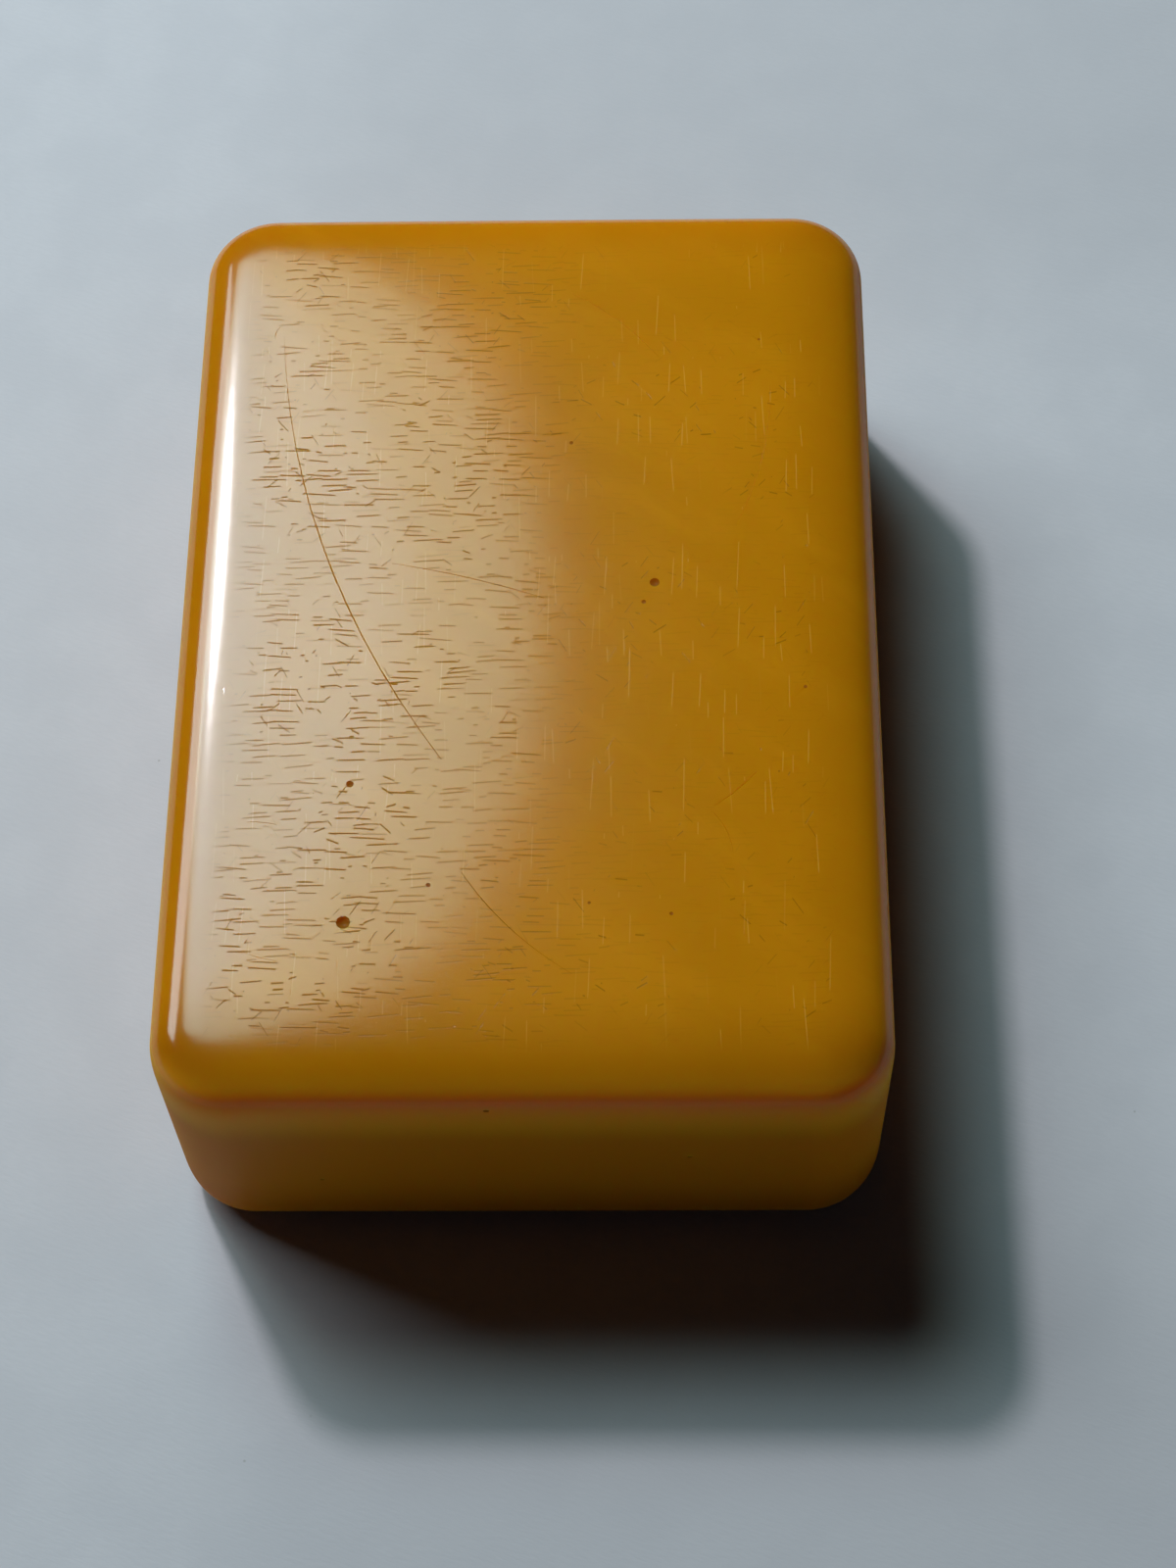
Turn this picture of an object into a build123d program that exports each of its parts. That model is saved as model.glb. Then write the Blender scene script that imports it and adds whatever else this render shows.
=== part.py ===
"""Amber cast-phenolic game tile, lying with its engraved face down and its plain back up.

The tile is one solid block. Five round pips are cut into its face with round-nosed cutters,
and each cut is filled with enamel that stops just short of the face.
The origin is at the middle of the face, with X across the tile, Y along it and Z up.
"""
import os
from math import hypot
from build123d import *

# The block
TILE_WIDTH = 20.4
TILE_LENGTH = 30.0
TILE_THICKNESS = 9.5
CORNER_RADIUS = 2.2         # the four upright corners
EDGE_RADIUS = 1.2           # the rounding all round the face and all round the back

# One pip: a rim, a circle of dimples, a ring and an eye, all about one centre
RIM_DIAMETER = 6.1          # on the middle of the groove
DIMPLE_CIRCLE = 4.3
RING_DIAMETER = 2.4         # on the middle of the groove
DIMPLE_COUNT = 8
RIM_CUTTER = 0.5            # widths of the four cuts
DIMPLE_CUTTER = 0.8
RING_CUTTER = 0.4
EYE_CUTTER = 1.1

# Depths, measured up from the face at z = 0
STRAIGHT_WALL = 0.2         # every cut has this much upright wall below its round bottom
PAINT_RECESS = 0.12         # the enamel starts this far inside the face
CUTTER_RUN_IN = -0.5        # the cutters come in from outside the face

# The five pips of the face: four in the corners and one in the middle
PIP_OFFSET_X = 4.7
PIP_OFFSET_Y = 8.6
PIPS = {
    "pip_front_left": (-PIP_OFFSET_X, -PIP_OFFSET_Y),
    "pip_front_right": (PIP_OFFSET_X, -PIP_OFFSET_Y),
    "pip_centre": (0, 0),
    "pip_back_left": (-PIP_OFFSET_X, PIP_OFFSET_Y),
    "pip_back_right": (PIP_OFFSET_X, PIP_OFFSET_Y),
}


def ring_cut(centre, diameter, cutter, start):
    """A groove round a circle, from z = start up to its round bottom."""
    middle = diameter / 2
    nose = cutter / 2
    with BuildPart() as groove:
        with BuildSketch(Plane(origin=centre, x_dir=(1, 0, 0), z_dir=(0, -1, 0))):
            with BuildLine():
                CenterArc((middle, STRAIGHT_WALL), nose, 0, 180)
                Polyline(
                    (middle - nose, STRAIGHT_WALL),
                    (middle - nose, start),
                    (middle + nose, start),
                    (middle + nose, STRAIGHT_WALL),
                )
            make_face()
        revolve(axis=Axis(centre, (0, 0, 1)))
    return groove.part


def plunge_cut(centre, cutter, start):
    """A round hole pushed straight in, from z = start up to its round bottom."""
    nose = cutter / 2
    with BuildPart() as hole:
        with BuildSketch(Plane(origin=centre, x_dir=(1, 0, 0), z_dir=(0, -1, 0))):
            with BuildLine():
                CenterArc((0, STRAIGHT_WALL), nose, 0, 90)
                Polyline((nose, STRAIGHT_WALL), (nose, start), (0, start), (0, STRAIGHT_WALL + nose))
            make_face()
        revolve(axis=Axis(centre, (0, 0, 1)))
    return hole.part


def rim(centre, start):
    return ring_cut(centre, RIM_DIAMETER, RIM_CUTTER, start)


def dimple(centre, start):
    hole = plunge_cut((0, 0, 0), DIMPLE_CUTTER, start)
    with BuildPart(Plane(origin=centre)) as holes:
        with PolarLocations(DIMPLE_CIRCLE / 2, DIMPLE_COUNT):
            add(hole)
    return holes.part


def ring(centre, start):
    return ring_cut(centre, RING_DIAMETER, RING_CUTTER, start)


def eye(centre, start):
    return plunge_cut(centre, EYE_CUTTER, start)


MARKS = {"rim": rim, "dimple": dimple, "ring": ring, "eye": eye}

os.makedirs("parts", exist_ok=True)

# Each pip's four cuts, and the enamel that fills each of them as a piece of its own
cuts = []
for pip_name, (x, y) in PIPS.items():
    for mark_name, make_mark in MARKS.items():
        cuts.append(make_mark((x, y, 0), CUTTER_RUN_IN))
        paint = make_mark((x, y, 0), PAINT_RECESS)
        paint.label = f"{pip_name}_{mark_name}_paint"
        export_step(paint, f"parts/{paint.label}.step")

# The block: sawn from a cast bar, its corners and edges rounded, then engraved from below
with BuildPart() as tile_body:
    with BuildSketch():
        RectangleRounded(TILE_WIDTH, TILE_LENGTH, CORNER_RADIUS)
    extrude(amount=TILE_THICKNESS)
    fillet(tile_body.faces().filter_by(Axis.Z).edges(), EDGE_RADIUS)
    add(cuts, mode=Mode.SUBTRACT)
tile_body.part.label = "tile_body"
export_step(tile_body.part, "parts/tile_body.step")

# The land that is left between neighbouring cuts and beside the rounded edge
rim_reach = (RIM_DIAMETER + RIM_CUTTER) / 2
print("land beside the edge rounding:", round(TILE_WIDTH / 2 - EDGE_RADIUS - PIP_OFFSET_X - rim_reach, 3))
print("land between two pips:", round(hypot(PIP_OFFSET_X, PIP_OFFSET_Y) - 2 * rim_reach, 3))
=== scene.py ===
"""A thick amber game tile of cast phenolic resin, lying on a pale board with its engraved face down.

The sections follow the tile as it is shown and made: the board under it, the lamps, the camera,
then the polished block with its engraving, and last the enamel that fills the engraving.
"""

from math import cos, pi, radians, sin, tan

import bmesh
import bpy
from mathutils import Matrix, Vector


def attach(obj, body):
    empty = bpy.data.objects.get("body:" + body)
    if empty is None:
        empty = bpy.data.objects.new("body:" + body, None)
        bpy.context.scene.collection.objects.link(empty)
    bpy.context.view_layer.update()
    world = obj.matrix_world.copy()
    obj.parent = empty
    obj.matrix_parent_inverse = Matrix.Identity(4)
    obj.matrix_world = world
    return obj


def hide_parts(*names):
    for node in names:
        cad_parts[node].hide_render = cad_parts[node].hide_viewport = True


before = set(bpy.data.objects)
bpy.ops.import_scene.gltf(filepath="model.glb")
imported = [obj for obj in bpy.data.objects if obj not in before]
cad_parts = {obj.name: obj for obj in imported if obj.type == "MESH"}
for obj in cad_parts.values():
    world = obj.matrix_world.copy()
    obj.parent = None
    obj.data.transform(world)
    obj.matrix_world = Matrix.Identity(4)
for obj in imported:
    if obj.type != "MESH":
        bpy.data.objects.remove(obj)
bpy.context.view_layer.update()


# --- The board --------------------------------------------------------------------------------------
# A matt board, cool pale grey with a few specks of dust, and greyed in front of and behind the tile by
# painted shade. It curves up far from the tile, so that a low view ends on it. It is a stage, not part of the
# tile.

MM = 0.001


class Value:
    """A number, colour or vector that changes over a surface, with arithmetic for the numbers."""

    def __init__(self, tree, socket):
        self.tree = tree
        self.socket = socket

    def math(self, operation, *values):
        return self.tree.node("ShaderNodeMath", {"operation": operation}, dict(enumerate(values)))

    def __add__(self, other):
        return self.math("ADD", self, other)

    def __sub__(self, other):
        return self.math("SUBTRACT", self, other)

    def __rsub__(self, other):
        return self.math("SUBTRACT", other, self)

    def __mul__(self, other):
        return self.math("MULTIPLY", self, other)

    def __truediv__(self, other):
        return self.math("DIVIDE", self, other)

    def __pow__(self, other):
        return self.math("POWER", self, other)

    def __abs__(self):
        return self.math("ABSOLUTE", self)

    __radd__ = __add__
    __rmul__ = __mul__

    def step(self, start, end):
        """0 up to start, 1 from end on, smooth in between. The start may be the higher one."""
        if start > end:
            return 1 - self.step(end, start)
        return self.tree.node("ShaderNodeMapRange", {"interpolation_type": "SMOOTHSTEP"},
                              {"Value": self, "From Min": start, "From Max": end})


class Tree:
    """A node tree that is written down as expressions."""

    def __init__(self, tree):
        self.tree = tree

    def node(self, kind, settings=None, inputs=None, output=0):
        """Adds a node, its settings first and then its sockets, and gives one of its outputs."""
        made = self.tree.nodes.new(kind)
        for setting, chosen in (settings or {}).items():
            setattr(made, setting, chosen)
        for key, given in (inputs or {}).items():
            if isinstance(given, Value):
                self.tree.links.new(given.socket, made.inputs[key])
            else:
                made.inputs[key].default_value = given
        return Value(self, made.outputs[output])

    def parts(self, vector):
        outputs = self.node("ShaderNodeSeparateXYZ", inputs={0: vector}).socket.node.outputs
        return [Value(self, part) for part in outputs]

    def noise(self, vector, scale, detail=2.0, roughness=0.5):
        return self.node("ShaderNodeTexNoise", inputs={
            "Vector": vector, "Scale": scale, "Detail": detail, "Roughness": roughness})


class Finish(Tree):
    """A material in the making. Its places are on the object, in millimetres."""

    DULL_ROUGHNESS = 0.6

    def __init__(self, name):
        self.material = bpy.data.materials.new(name)
        self.material.use_nodes = True
        super().__init__(self.material.node_tree)
        self.tree.nodes.clear()
        place = self.node("ShaderNodeTexCoord", output="Object")
        self.place = self.node("ShaderNodeVectorMath", {"operation": "SCALE"}, {0: place, "Scale": 1 / MM})

    def along(self, degrees, stretch):
        """Places turned about Z and then stretched, so that a noise in them has a direction."""
        turned = self.node("ShaderNodeMapping", inputs={
            "Vector": self.place, "Rotation": (0, 0, radians(degrees))})
        return self.node("ShaderNodeVectorMath", {"operation": "MULTIPLY"}, {0: turned, 1: stretch})

    def specks(self, per_mm, radius, share):
        """Round dots in a jittered grid of cells, in the given share of the cells."""
        cell = self.node("ShaderNodeTexVoronoi", inputs={"Vector": self.place, "Scale": per_mm})
        chosen = Value(self, cell.socket.node.outputs["Color"])
        dot = cell.step(radius * per_mm, radius * per_mm * 0.6)
        return dot * self.parts(chosen)[0].step(1 - share, 1 - share * 0.8)

    def strokes(self, per_mm, length, width, slant, share, upright=False):
        """One short stroke in each jittered cell, in the given share of the cells, some of them faint."""
        scaled = self.node("ShaderNodeVectorMath", {"operation": "MULTIPLY"}, {
            0: self.place, 1: (*per_mm, 0)})
        cell = self.node("ShaderNodeTexVoronoi", {"voronoi_dimensions": "2D"}, {"Vector": scaled, "Scale": 1})
        outputs = cell.socket.node.outputs
        lot, chance, tone = self.parts(Value(self, outputs["Color"]))
        away = self.node("ShaderNodeVectorMath", {"operation": "SUBTRACT"}, {
            0: scaled, 1: Value(self, outputs["Position"])})
        run, aside = [part / scale for part, scale in zip(self.parts(away), per_mm)]
        if upright:
            run, aside = aside, run
        line = abs(aside - run * (lot - 0.5) * slant).step(width, width * 0.4)
        reach = abs(run) / (chance * (length / 2) + 0.01)
        return line * reach.step(1.0, 0.8) * tone.step(1 - share, 1 - share * 0.5)

    def blend(self, mask, first, second):
        """A colour that goes from the first to the second as the mask goes from 0 to 1."""
        made = self.node("ShaderNodeMix", {"data_type": "RGBA"}, {"Factor": mask}).socket.node
        for key, given in ((6, first), (7, second)):
            if isinstance(given, Value):
                self.tree.links.new(given.socket, made.inputs[key])
            else:
                made.inputs[key].default_value = (*given, 1)
        return Value(self, made.outputs[2])

    def close(self, relief=None, dull=None, **inputs):
        """Ends the material. The relief is a height in micrometres, and dull is where no shine is left."""
        inputs = {key.replace("_", " "): given for key, given in inputs.items()}
        if relief is not None:
            inputs["Normal"] = self.node("ShaderNodeBump", inputs={"Height": relief, "Distance": 0.001 * MM})
        shader = self.node("ShaderNodeBsdfPrincipled", inputs=inputs)
        if dull is not None:
            matt = self.node("ShaderNodeBsdfPrincipled", inputs={
                **inputs, "Roughness": self.DULL_ROUGHNESS, "Specular IOR Level": 0.0})
            shader = self.node("ShaderNodeMixShader", inputs={0: dull, 1: shader, 2: matt})
        end = self.tree.nodes.new("ShaderNodeOutputMaterial")
        self.tree.links.new(shader.socket, end.inputs["Surface"])
        return self.material


def turn(mesh, outline, steps, centre=(0, 0), closed=True):
    """Turns an outline of (radius, height) points about an upright axis. A radius of 0 is a pole."""
    rings = []
    for radius, height in outline:
        count = steps if radius else 1
        angles = [2 * pi * k / steps for k in range(count)]
        ring = [mesh.verts.new((centre[0] + radius * cos(a), centre[1] + radius * sin(a), height))
                for a in angles]
        rings.append(ring * (steps // count))
    ends = rings[1:] + (rings[:1] if closed else [])
    for ring, following in zip(rings, ends):
        for k in range(steps):
            after = (k + 1) % steps
            corners = [ring[k], ring[after], following[after], following[k]]
            corners = [c for i, c in enumerate(corners) if c not in corners[:i]]
            if len(corners) > 2:
                mesh.faces.new(corners)


def finished(name, mesh, material, smooth_under=35):
    """Makes an object from a bmesh in metres: faces outward, edges sharper than the angle kept."""
    bmesh.ops.recalc_face_normals(mesh, faces=mesh.faces)
    data = bpy.data.meshes.new(name)
    mesh.to_mesh(data)
    mesh.free()
    data.shade_smooth()
    data.set_sharp_from_angle(angle=radians(smooth_under))
    data.materials.append(material)
    made = bpy.data.objects.new(name, data)
    bpy.context.scene.collection.objects.link(made)
    return made


BOARD_FLAT = 0.42
BOARD_REACH = 0.62
BOARD_RISE = 0.17
SWEEP_STEPS = 12
BOARD_STEPS = 128
BOARD_GREY, BOARD_PALE_GREY = (0.585, 0.565, 0.600), (0.610, 0.588, 0.622)
FIBRE_GREY = (0.555, 0.537, 0.572)
BOARD_SHADE_GREY = (0.450, 0.436, 0.464)
DUST = (0.30, 0.29, 0.27)

board_finish = Finish("pale_board")
mottle = board_finish.noise(board_finish.place, 0.35, 2.0)
fibre = board_finish.noise(board_finish.along(20, (2.5, 9.0, 4.0)), 1.0, 2.0)
dust = board_finish.specks(0.5, 0.05, 0.12)
board_tone = board_finish.blend(mottle.step(0.35, 0.65), BOARD_GREY, BOARD_PALE_GREY)
board_tone = board_finish.blend(fibre.step(0.3, 0.7) * 0.25, board_tone, FIBRE_GREY)
across_board, up_board, _ = board_finish.parts(board_finish.place)
# Painted shade: the board greyed in front of the tile and far behind it, from a little left of its middle to
# the right
painted_board_shade = across_board.step(-13, -3) * (up_board.step(-13, -21) + up_board.step(14, 24) * 0.8)
board_tone = board_finish.blend(painted_board_shade * 0.5, board_tone, BOARD_SHADE_GREY)
board_tone = board_finish.blend(dust * 0.5, board_tone, DUST)
pale_board = board_finish.close(Base_Color=board_tone, Roughness=0.8, relief=fibre * 6.0)

sweep = [(BOARD_FLAT + (BOARD_REACH - BOARD_FLAT) * sin(pi / 2 * k / SWEEP_STEPS),
          BOARD_RISE * (1 - cos(pi / 2 * k / SWEEP_STEPS))) for k in range(SWEEP_STEPS + 1)]
board_mesh = bmesh.new()
turn(board_mesh, [(0, 0), (0.05, 0), (0.2, 0)] + sweep, BOARD_STEPS, closed=False)
board = finished("board", board_mesh, pale_board)
if board.data.polygons[0].normal.z < 0:
    board.data.flip_normals()


# --- The lamps --------------------------------------------------------------------------------------
# A round reading lamp stands behind the tile to its left, with a small bright bulb in its
# frosted disc. A wide pale panel low on the left fills in, and the rest of the room is dim.

def lamp(name, shape, azimuth, elevation, distance, size, radiance, colour):
    """Hangs a flat lamp that faces the tile. Azimuths turn from +Y towards +X."""
    data = bpy.data.lights.new(name, "AREA")
    data.shape = shape
    data.size, data.size_y = size
    area = size[0] * size[1] * (1 if shape == "RECTANGLE" else pi / 4)
    data.energy = radiance * pi * area
    data.color = colour
    made = bpy.data.objects.new(name, data)
    a, e = radians(azimuth), radians(elevation)
    away = Vector((sin(a) * cos(e), cos(a) * cos(e), sin(e)))
    facing = away.to_track_quat("Z", "Y").to_matrix().to_4x4()
    made.matrix_world = Matrix.Translation(away * distance) @ facing
    bpy.context.scene.collection.objects.link(made)


LAMP_DISTANCE = 0.25
RIM_GLASS = (0.82, 1.15, 1.00)
PALE_GLASS = (0.60, 1.16, 1.75)
BULB_WHITE = (1.0, 0.99, 1.04)
PANEL_BLUE = (0.85, 1.0, 1.03)
ROOM_GREY = (0.0025, 0.0027, 0.0030)


def across(degrees):
    """The diameter of a disc at the lamp's distance, from the half angle that it fills."""
    return (2 * LAMP_DISTANCE * tan(radians(degrees)),) * 2


# Each smaller disc hangs a little nearer to the tile than the one around it
lamp("frosted_disc", "DISK", -28.6, 56.9, LAMP_DISTANCE, across(13.15), 4.45, RIM_GLASS)
lamp("frosted_middle", "DISK", -29.4, 56.3, LAMP_DISTANCE * 0.99, across(10.4), 1.8, PALE_GLASS)
lamp("frosted_glow", "DISK", -30.5, 55.2, LAMP_DISTANCE * 0.98, across(7.2), 0.7, PALE_GLASS)
lamp("bulb", "DISK", -32.2, 52.5, LAMP_DISTANCE * 0.97, across(2.4), 212, BULB_WHITE)
lamp("low_panel", "RECTANGLE", -52, 45, 0.40, (0.18, 0.10), 7.0, PANEL_BLUE)

room = bpy.data.worlds.new("dim_room")
room.use_nodes = True
room.node_tree.nodes["Background"].inputs["Color"].default_value = (*ROOM_GREY, 1)
bpy.context.scene.world = room
bpy.context.scene.view_settings.view_transform = "Standard"


# --- The camera -------------------------------------------------------------------------------------
# It looks down steeply from just in front of the tile and a little to its right, slightly rolled.

AZIMUTH, ELEVATION, ROLL = radians(2.50), radians(62.02), radians(-2.47)
LENS = 70.78
NEAREST = 0.005
LOOKED_AT = Vector((1.74, -4.14, 7.0)) * MM
STAND_OFF = 0.08935
camera_data = bpy.data.cameras.new("camera")
camera_data.lens = LENS
camera_data.clip_start = NEAREST
back = Vector((sin(AZIMUTH) * cos(ELEVATION), -cos(AZIMUTH) * cos(ELEVATION), sin(ELEVATION)))
right = Vector((cos(AZIMUTH), sin(AZIMUTH), 0))
up = back.cross(right)
axes = (right * cos(ROLL) + up * sin(ROLL), up * cos(ROLL) - right * sin(ROLL), back)
stand = LOOKED_AT + back * STAND_OFF
camera = bpy.data.objects.new("camera", camera_data)
camera.matrix_world = Matrix.Translation(stand) @ Matrix(axes).transposed().to_4x4()
bpy.context.scene.collection.objects.link(camera)
bpy.context.scene.camera = camera


# --- The block --------------------------------------------------------------------------------------
# One solid block of amber cast phenolic, cut from a rod and tumbled until every edge is a soft
# rolled one. Rings and dots for five pips are cut in its face, and its back is plain and worn.

WIDTH, LENGTH, THICKNESS = 20.4, 30.0, 9.5
CORNER_REACH = 2.2
EDGE_REACH = 2.1
ROLL_POWER = 4.5

PIPS = {
    "pip_front_left": (-4.7, -8.6),
    "pip_front_right": (4.7, -8.6),
    "pip_centre": (0.0, 0.0),
    "pip_back_left": (-4.7, 8.6),
    "pip_back_right": (4.7, 8.6),
}
STRAIGHT_WALL = 0.2
RUN_IN = -0.5
ROUND_STEPS = 6


def plunge(cutter, start):
    """The outline of a round-nosed cutter that goes down into the face, from its rim to its axis."""
    nose = cutter / 2
    arc = [(nose * cos(pi / 2 * k / ROUND_STEPS), STRAIGHT_WALL + nose * sin(pi / 2 * k / ROUND_STEPS))
           for k in range(ROUND_STEPS)]
    return [(0, start), (nose, start)] + arc + [(0, STRAIGHT_WALL + nose)]


def channel(cutter, radius, start):
    """The outline of the same cutter led round a ring of the given radius."""
    nose = cutter / 2
    angles = [pi * k / (2 * ROUND_STEPS) for k in range(2 * ROUND_STEPS + 1)]
    arc = [(radius + nose * cos(angle), STRAIGHT_WALL + nose * sin(angle)) for angle in angles]
    return [(radius - nose, start), (radius + nose, start)] + arc


RIM_RADIUS, RIM_CUTTER = 3.05, 0.5
DIMPLE_CIRCLE_RADIUS, DIMPLE_CUTTER, DIMPLE_COUNT = 2.15, 0.8, 8
RING_RADIUS, RING_CUTTER = 1.2, 0.4
EYE_CUTTER = 1.1
RIM_STEPS, DIMPLE_STEPS, RING_STEPS, EYE_STEPS = 64, 24, 40, 28
DIMPLES = [(DIMPLE_CIRCLE_RADIUS * cos(2 * pi * k / DIMPLE_COUNT),
            DIMPLE_CIRCLE_RADIUS * sin(2 * pi * k / DIMPLE_COUNT)) for k in range(DIMPLE_COUNT)]

cutter_mesh = bmesh.new()
turn(cutter_mesh, channel(RIM_CUTTER, RIM_RADIUS, RUN_IN), RIM_STEPS)
turn(cutter_mesh, channel(RING_CUTTER, RING_RADIUS, RUN_IN), RING_STEPS)
turn(cutter_mesh, plunge(EYE_CUTTER, RUN_IN), EYE_STEPS)
for dimple in DIMPLES:
    turn(cutter_mesh, plunge(DIMPLE_CUTTER, RUN_IN), DIMPLE_STEPS, dimple)


def cutters(name, mesh, stain):
    """Keeps cutters, in millimetres, for the shape rule. Each face they cut remembers the stain."""
    data = bpy.data.meshes.new(name)
    bmesh.ops.recalc_face_normals(mesh, faces=mesh.faces)
    mesh.to_mesh(data)
    mesh.free()
    data.attributes.new("stain", "FLOAT", "FACE").data.foreach_set("value", [stain] * len(data.polygons))
    return bpy.data.objects.new(name, data)


pip_cutters = cutters("pip_cutters", cutter_mesh, 0.0)

# Small pits where a chip or a grain of filler has come out: x, y, z and radius of each
PITS = (
    (-4.91, -9.73, 9.49, 0.20), (3.70, 1.16, 9.50, 0.15), (-4.90, -5.43, 9.50, 0.11),
    (-2.60, -8.60, 9.50, 0.07), (7.98, -2.34, 9.50, 0.07), (1.24, 6.05, 9.50, 0.06),
    (3.38, 0.50, 9.50, 0.07),
    (4.11, -9.50, 9.50, 0.06), (1.85, -9.16, 9.50, 0.05), (-8.66, -2.30, 9.50, 0.07),
    (6.90, 9.80, 9.50, 0.05),
    (-0.91, -14.98, 8.60, 0.10), (4.60, -14.99, 5.30, 0.08), (-5.80, -14.99, 3.60, 0.07),
    (10.18, 3.40, 6.10, 0.10), (10.18, -6.70, 3.90, 0.07), (-10.18, 7.20, 5.20, 0.09),
    (-10.18, -4.10, 3.10, 0.07), (2.70, 14.98, 4.40, 0.09), (-6.30, 14.98, 6.60, 0.06),
)
PIT_RINGS, PIT_SIDES = 6, 10
PIT_FLATNESS = 0.6
PIT_STAIN = 1.0
pit_mesh = bmesh.new()
for x, y, z, radius in PITS:
    angles = [pi * k / PIT_RINGS for k in range(1, PIT_RINGS)]
    ball = [(radius * sin(angle), z + PIT_FLATNESS * radius * cos(angle)) for angle in angles]
    poles = [(0, z + PIT_FLATNESS * radius), (0, z - PIT_FLATNESS * radius)]
    turn(pit_mesh, poles[:1] + ball + poles[1:], PIT_SIDES, (x, y))
pit_cutters = cutters("pit_cutters", pit_mesh, PIT_STAIN)

# Scratches deep enough to catch a nail: two ends, the bow from a straight line, and the width
SCRATCHES = (
    ((-7.58, 10.51), (-2.35, -4.66), -1.15, 0.044),
    ((-7.80, 9.90), (-7.66, 10.42), 0.08, 0.050),
    ((-3.97, 1.86), (0.48, 0.65), 0.10, 0.028),
    ((6.56, -5.06), (5.34, -6.16), 0.06, 0.040),
    ((5.30, -6.36), (5.83, -7.64), 0.12, 0.040),
    ((-8.80, -2.05), (-8.62, -2.45), 0.08, 0.050),
    ((-6.60, -10.90), (-7.90, -10.50), 0.05, 0.040),
    ((-7.80, -6.60), (-6.90, -6.70), 0.03, 0.040),
    ((1.20, 11.60), (3.90, 9.10), 0.20, 0.036),
    ((-1.70, -8.20), (1.40, -11.30), -0.25, 0.038),
    ((7.20, 8.30), (6.10, 3.10), 0.30, 0.036),
)
SCRATCH_STEPS = 14
SCRATCH_STAIN = 0.12
SLIMMEST, STEEPNESS, LEAST_DEPTH = 0.5, 0.6, 0.008
PROUD = 0.02


def score(mesh, start, end, bow, width):
    """A long V-shaped cutter that lies along a bowed line on the back and thins out at its ends."""
    start, end = Vector(start), Vector(end)
    aside = (end - start).orthogonal().normalized()
    rings = []
    for k in range(SCRATCH_STEPS + 1):
        run = k / SCRATCH_STEPS
        middle = start.lerp(end, run) + aside * (4 * bow * run * (1 - run))
        half = width * (SLIMMEST + (1 - SLIMMEST) * sin(pi * run) ** 0.5)
        corners = [middle - aside * half, middle + aside * half, middle]
        heights = (THICKNESS + PROUD, THICKNESS + PROUD, THICKNESS - LEAST_DEPTH - STEEPNESS * half)
        rings.append([mesh.verts.new((*corner, height)) for corner, height in zip(corners, heights)])
    for ring, following in zip(rings, rings[1:]):
        for k in range(3):
            mesh.faces.new((ring[k], ring[k - 2], following[k - 2], following[k]))
    mesh.faces.new(rings[0])
    mesh.faces.new(rings[-1])


scratch_mesh = bmesh.new()
for scratch in SCRATCHES:
    score(scratch_mesh, *scratch)
scratch_cutters = cutters("scratch_cutters", scratch_mesh, SCRATCH_STAIN)

AMBER, LIGHT_AMBER, VEIN_AMBER = (0.595, 0.232, 0.0020), (0.650, 0.256, 0.0030), (0.690, 0.285, 0.0050)
SHADE_AMBER = (0.270, 0.082, 0.0006)
SIDE_AMBER = (0.590, 0.160, 0.005)
LIT_ROLL_AMBER = (0.840, 0.350, 0.014)
GRAIN_BROWN, STAIN_BROWN, DASH_SHADE_BROWN = (0.16, 0.055, 0.006), (0.36, 0.115, 0.010), (0.31, 0.118, 0.002)
HAIR_GLINT_GOLD = (0.80, 0.420, 0.060)
AMBER_IOR = 1.5
GLOW_REACH = 3.0

phenolic = Finish("amber_cast_phenolic")
x, y, z = phenolic.parts(phenolic.place)
from_middle = abs(z - THICKNESS / 2)

# Cloudy amber, a little uneven from the casting
cloud = phenolic.noise(phenolic.place, 0.16, 2.0)
vein = phenolic.noise(phenolic.along(35, (0.25, 0.9, 0.5)), 1.0, 3.0, 0.6)
amber = phenolic.blend(cloud.step(0.3, 0.7), AMBER, LIGHT_AMBER)
amber = phenolic.blend(vein.step(0.45, 0.75) * 0.4, amber, VEIN_AMBER)

# Painted shade: darker round the back's outer roll, and low down near the face where the board shades it
painted_edge_shade = abs(x).step(7.0, 10.2) * 0.7 + y.step(-11.5, -14.6) * 0.85 + y.step(12.5, 14.8) * 0.5
painted_edge_shade = painted_edge_shade * z.step(8.6, 9.3) + z.step(3.6, 0.6) * 1.5
amber = phenolic.blend(painted_edge_shade * 0.6, amber, SHADE_AMBER)
amber = phenolic.blend(z.step(7.8, 6.2) * 0.7, amber, SIDE_AMBER)
# Painted light: the front roll is a lighter amber, standing in for light coming through its edge
painted_roll_light = z.step(9.45, 9.0) * z.step(6.6, 8.2) * y.step(-13.2, -14.4)
amber = phenolic.blend(painted_roll_light * 0.65, amber, LIT_ROLL_AMBER)

# Grains of filler in it, and brown dirt in its pits and scratches
grains = phenolic.specks(0.55, 0.05, 0.25)
amber = phenolic.blend(grains * 0.5, amber, GRAIN_BROWN)
stained = phenolic.node("ShaderNodeAttribute", {"attribute_name": "stain"}, output="Fac")
amber = phenolic.blend(stained * 0.9, amber, STAIN_BROWN)

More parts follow.
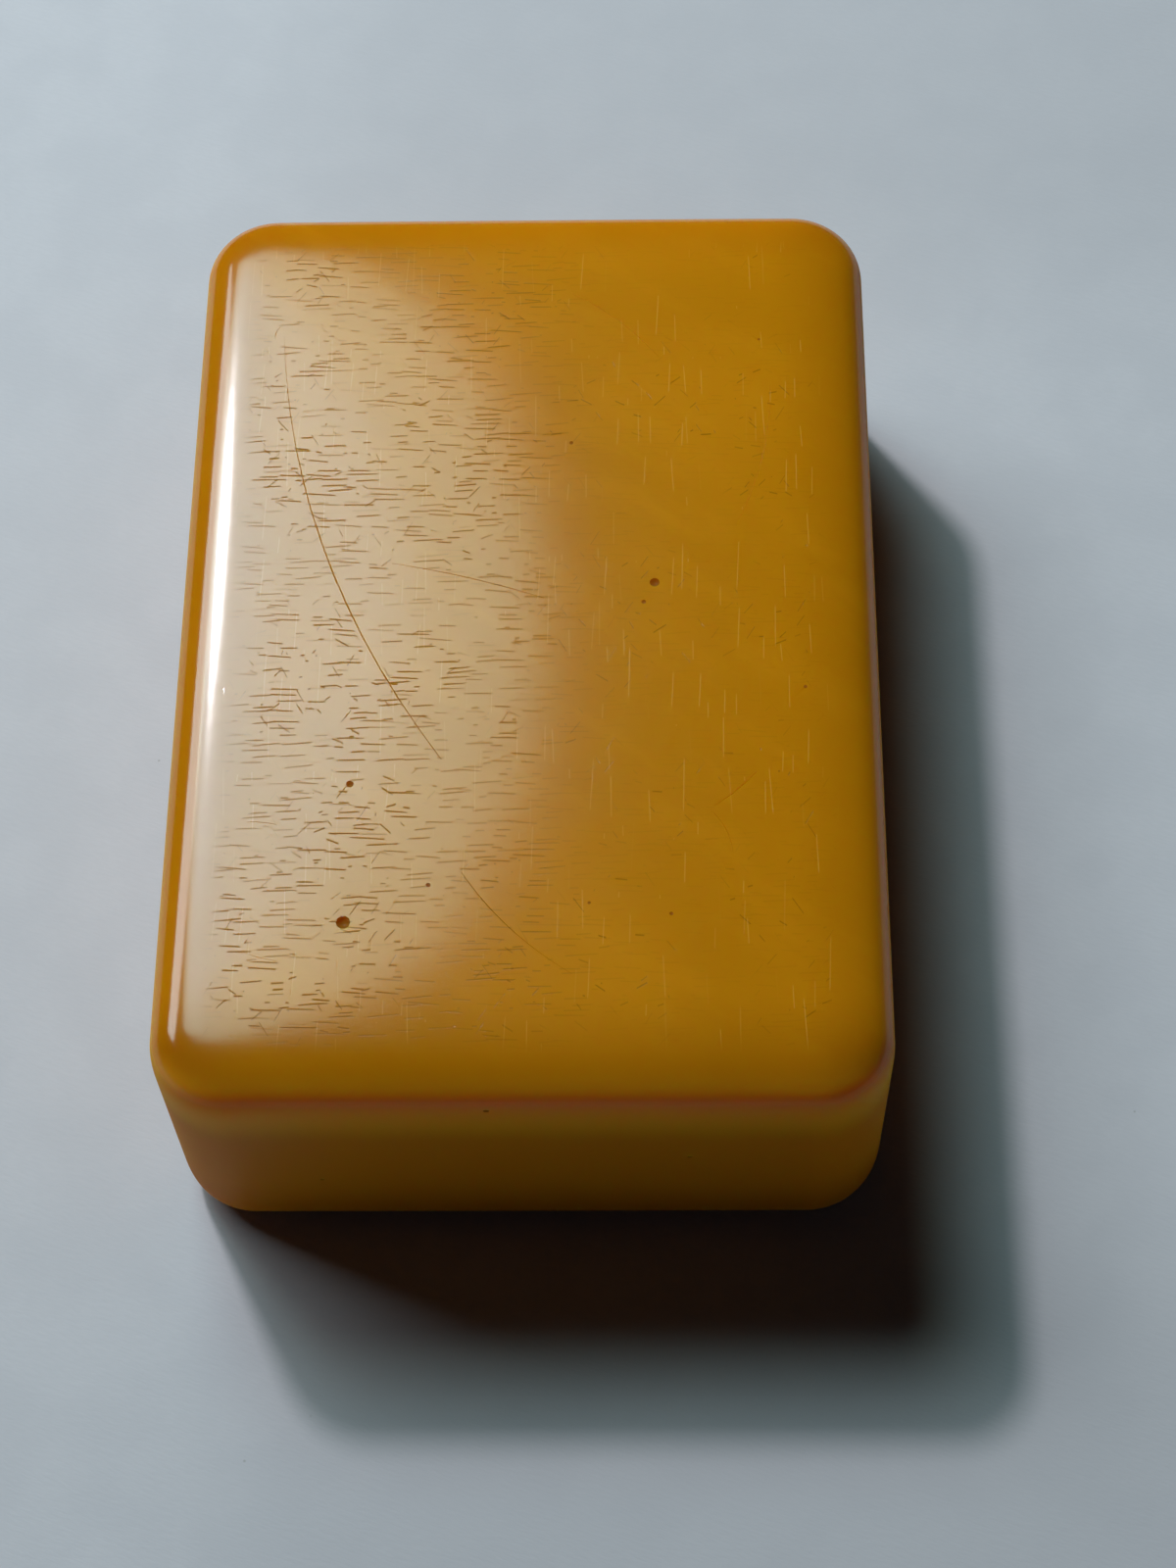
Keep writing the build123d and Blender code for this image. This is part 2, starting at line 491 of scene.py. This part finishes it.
# Wear of the flats: dashes from being slid about, nicks every way, and fine hair scratches
flat = from_middle.step(4.55, 4.70) * abs(x).step(8.9, 8.1) * abs(y).step(13.7, 12.9)
patchy = phenolic.noise(phenolic.place, 0.30, 1.0).step(0.36, 0.60)
most_worn = abs(x + 4.0).step(6.5, 3.5)
dashes = phenolic.strokes((1.1, 5.6), 1.1, 0.030, 0.22, 0.9) * (patchy * 0.4 + 0.6)
nicks = phenolic.strokes((2.0, 2.5), 0.40, 0.034, 4.0, 0.5) * patchy
hairs = phenolic.strokes((2.6, 0.55), 1.8, 0.022, 0.12, 0.6, upright=True)
dashes = (dashes * (most_worn * 0.8 + 0.2) + nicks) * flat
hairs = hairs * flat
# The dashes and nicks are real wear, painted darker as painted shade where they break the shine
amber = phenolic.blend(dashes * 0.7, amber, DASH_SHADE_BROWN)
# The hair scratches are real wear, painted lighter as painted highlights where they catch the lamp
amber = phenolic.blend(hairs * 0.4, amber, HAIR_GLINT_GOLD)

# The flats keep their shine, and the sides have lost most of it
satin = phenolic.noise(phenolic.place, 2.2, 3.0)
sides = from_middle.step(4.45, 3.85)
sheen = 0.100 + sides * 0.25 + satin.step(0.3, 0.7) * 0.015
relief = satin * 0.5 - (dashes * 1.0 + hairs * 0.25)
amber_cast_phenolic = phenolic.close(
    Base_Color=amber, Roughness=sheen, IOR=AMBER_IOR, Subsurface_Weight=1.0,
    Subsurface_Radius=(1.0, 0.42, 0.08), Subsurface_Scale=GLOW_REACH * MM, relief=relief,
    dull=sides * 0.75 + dashes + stained * 0.9)


class Shape(Tree):
    """A Geometry Nodes rule, worked out in millimetres, whose sizes are named inputs."""

    KINDS = {float: "NodeSocketFloat", bpy.types.Object: "NodeSocketObject"}

    def __init__(self, name, **sizes):
        super().__init__(bpy.data.node_groups.new(name, "GeometryNodeTree"))
        self.sizes = sizes
        self.tree.interface.new_socket("Geometry", in_out="INPUT", socket_type="NodeSocketGeometry")
        self.tree.interface.new_socket("Geometry", in_out="OUTPUT", socket_type="NodeSocketGeometry")
        for size, given in sizes.items():
            self.tree.interface.new_socket(size, in_out="INPUT", socket_type=self.KINDS[type(given)])
        self.given = self.tree.nodes.new("NodeGroupInput")

    def size(self, name):
        return Value(self, self.given.outputs[name])

    def grow(self, name, start, geometry, material):
        """Ends the rule, lets it grow on a start mesh, and keeps the result as a plain object."""
        realized = self.node("GeometryNodeRealizeInstances", inputs={"Geometry": geometry})
        scaled = self.node("GeometryNodeTransform", inputs={"Geometry": realized, "Scale": (MM, MM, MM)})
        dressed = self.node("GeometryNodeSetMaterial", inputs={"Geometry": scaled, "Material": material})
        end = self.tree.nodes.new("NodeGroupOutput")
        self.tree.links.new(dressed.socket, end.inputs["Geometry"])
        made = bpy.data.objects.new(name, start)
        bpy.context.scene.collection.objects.link(made)
        rule = made.modifiers.new("rule", "NODES")
        rule.node_group = self.tree
        for item in self.tree.interface.items_tree:
            if item.in_out == "INPUT" and item.name in self.sizes:
                rule[item.identifier] = self.sizes[item.name]
        grown = bpy.data.meshes.new_from_object(made.evaluated_get(bpy.context.evaluated_depsgraph_get()))
        made.modifiers.remove(rule)
        made.data = grown
        return made


block = Shape("rolled_block", width=WIDTH, length=LENGTH, thickness=THICKNESS, corner_reach=CORNER_REACH,
              edge_reach=EDGE_REACH, crown=0.11, front_crown=0.015, crown_width=1.4, polish_depth=0.006,
              pip_cutters=pip_cutters, pit_cutters=pit_cutters, scratch_cutters=scratch_cutters)
EDGE_STEPS = 18
FLAT_STEPS = (34, 46, 12)
SMOOTH_UNDER = 32
counts = [steps + 2 * EDGE_STEPS for steps in FLAT_STEPS]
cube = block.node("GeometryNodeMeshCube", inputs={
    "Size": (2, 2, 2), "Vertices X": counts[0] + 1, "Vertices Y": counts[1] + 1, "Vertices Z": counts[2] + 1})
halves = [block.size(name) * 0.5 for name in ("width", "length", "thickness")]
reaches = [block.size("corner_reach"), block.size("corner_reach"), block.size("edge_reach")]
along_cube = block.parts(block.node("GeometryNodeInputPosition"))
shares = [steps / count for steps, count in zip(FLAT_STEPS, counts)]
over = [block.node("ShaderNodeMath", {"operation": "MAXIMUM"}, {0: (abs(u) - share) / (1 - share), 1: 0.0})
        for u, share in zip(along_cube, shares)]
roll = ((over[0] ** 2 + over[1] ** 2) ** (ROLL_POWER / 2) + over[2] ** ROLL_POWER) ** (1 / ROLL_POWER)
placed = []
for u, share, half, reach, beyond in zip(along_cube, shares, halves, reaches, over):
    along_core = block.node("ShaderNodeMath", {"operation": "MINIMUM"}, {0: abs(u) / share, 1: 1.0})
    side = block.node("ShaderNodeMath", {"operation": "SIGN"}, {0: u})
    placed.append(side * (along_core * (half - reach) + reach * beyond / roll))
crowned = 1
for part, half in zip(placed[:2], halves):
    inset = (half - abs(part)) / block.size("crown_width")
    fall = block.node("ShaderNodeMath", {"operation": "EXPONENT"}, {0: inset * -1})
    crowned = crowned - fall * block.size("crown") / halves[2]
front_fall = block.node("ShaderNodeMath", {"operation": "EXPONENT"}, {
    0: (placed[1] + halves[1]) / block.size("crown_width") * -1})
crowned = crowned - front_fall * block.size("front_crown") / halves[2]
rolled = block.node("ShaderNodeCombineXYZ", inputs={
    0: placed[0], 1: placed[1], 2: placed[2] * crowned + halves[2]})
shaped = block.node("GeometryNodeSetPosition", inputs={"Geometry": cube, "Position": rolled})
unevenness = block.noise(block.node("GeometryNodeInputPosition"), 0.16, 1.0)
inward = block.node("ShaderNodeVectorMath", {"operation": "SCALE"}, {
    0: block.node("GeometryNodeInputNormal"), "Scale": unevenness * block.size("polish_depth") * -1})
polished = block.node("GeometryNodeSetPosition", inputs={"Geometry": shaped, "Offset": inward})
each_pip = block.node("GeometryNodeObjectInfo", inputs={
    "Object": block.size("pip_cutters")}, output="Geometry")
pip_cuts = block.node("GeometryNodeInstanceOnPoints", inputs={
    "Points": block.size("Geometry"), "Instance": each_pip})
cut = block.node("GeometryNodeMeshBoolean", {"operation": "DIFFERENCE", "solver": "EXACT"}, {
    "Mesh 1": polished, "Mesh 2": block.node("GeometryNodeRealizeInstances", inputs={0: pip_cuts})})
for wear in ("pit_cutters", "scratch_cutters"):
    worn = block.node("GeometryNodeObjectInfo", inputs={"Object": block.size(wear)}, output="Geometry")
    block.tree.links.new(worn.socket, cut.socket.node.inputs["Mesh 2"])
pip_centres = bpy.data.meshes.new("pip_centres")
pip_centres.from_pydata([(x, y, 0) for x, y in PIPS.values()], [], [])
tile = block.grow("tile_block", pip_centres, cut, amber_cast_phenolic)
tile.data.shade_smooth()
tile.data.set_sharp_from_angle(angle=radians(SMOOTH_UNDER))
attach(tile, "root")
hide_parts("tile_body")


# --- The enamel -------------------------------------------------------------------------------------
# Gloss enamel, brushed into each cut and wiped off the face, so it lies a hair below it. It
# creeps up the walls as it dries. Rings and eyes are red, or green on the middle pip.

RECESS = 0.12
CREEP = 0.05
FILM_STEPS = 8
ENAMEL_SMOOTH_UNDER = 50
BROWN_DIRT = (0.10, 0.05, 0.02)


def enamel(name, colour, worn_colour):
    paint = Finish(name)
    stir = paint.noise(paint.place, 1.4, 3.0)
    dirt = paint.noise(paint.place, 5.0, 4.0, 0.6).step(0.55, 0.75)
    tone = paint.blend(stir.step(0.3, 0.7), colour, worn_colour)
    tone = paint.blend(dirt * 0.3, tone, BROWN_DIRT)
    return paint.close(Base_Color=tone, Roughness=0.22 + dirt * 0.25, Coat_Weight=0.3, Coat_Roughness=0.12,
                       relief=stir * 6.0 + dirt * 3.0)


ENAMELS = {
    "enamel_green": enamel("green_enamel", (0.015, 0.13, 0.05), (0.022, 0.16, 0.07)),
    "enamel_blue": enamel("blue_enamel", (0.012, 0.035, 0.20), (0.020, 0.055, 0.25)),
    "enamel_red": enamel("red_enamel", (0.42, 0.015, 0.012), (0.50, 0.030, 0.020)),
}
MAIN_COLOURS = {
    "pip_front_left": "enamel_blue",
    "pip_front_right": "enamel_green",
    "pip_centre": "enamel_red",
    "pip_back_left": "enamel_green",
    "pip_back_right": "enamel_blue",
}


def film(inner, outer):
    """The dried surface between two walls, in (radius, height) points from the inner wall out."""
    points = []
    for k in range(FILM_STEPS + 1):
        aside = 2 * k / FILM_STEPS - 1
        lift = CREEP * (aside ** 4 if inner else max(aside, 0) ** 4)
        points.append((inner + (outer - inner) * k / FILM_STEPS, RECESS - lift))
    return points


def deposit(mesh, centre, cutter, radius, steps):
    """One filling: the dried film, then down along the round bottom of its cut."""
    nose = cutter / 2
    inner = radius - nose if radius else 0
    outer = radius + nose
    bottom = channel(cutter, radius, RECESS)[3:-1] if radius else plunge(cutter, RECESS)[2:]
    turn(mesh, film(inner, outer) + [(outer, STRAIGHT_WALL)] * bool(radius) + bottom
         + [(inner, STRAIGHT_WALL)] * bool(radius), steps, centre)


MARKS = {
    "rim": (RIM_CUTTER, RIM_RADIUS, RIM_STEPS, [(0, 0)]),
    "dimple": (DIMPLE_CUTTER, 0, DIMPLE_STEPS, DIMPLES),
    "ring": (RING_CUTTER, RING_RADIUS, RING_STEPS, [(0, 0)]),
    "eye": (EYE_CUTTER, 0, EYE_STEPS, [(0, 0)]),
}
for pip, (pip_x, pip_y) in PIPS.items():
    accent = "enamel_green" if pip == "pip_centre" else "enamel_red"
    for mark, (cutter, radius, steps, centres) in MARKS.items():
        colour = accent if mark in ("ring", "eye") else MAIN_COLOURS[pip]
        fill_mesh = bmesh.new()
        for cx, cy in centres:
            deposit(fill_mesh, (pip_x + cx, pip_y + cy), cutter, radius, steps)
        bmesh.ops.scale(fill_mesh, vec=(MM, MM, MM), verts=fill_mesh.verts)
        fill = finished(f"{pip}_{mark}_enamel", fill_mesh, ENAMELS[colour], ENAMEL_SMOOTH_UNDER)
        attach(fill, "root")
        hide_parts(f"{pip}_{mark}_paint")
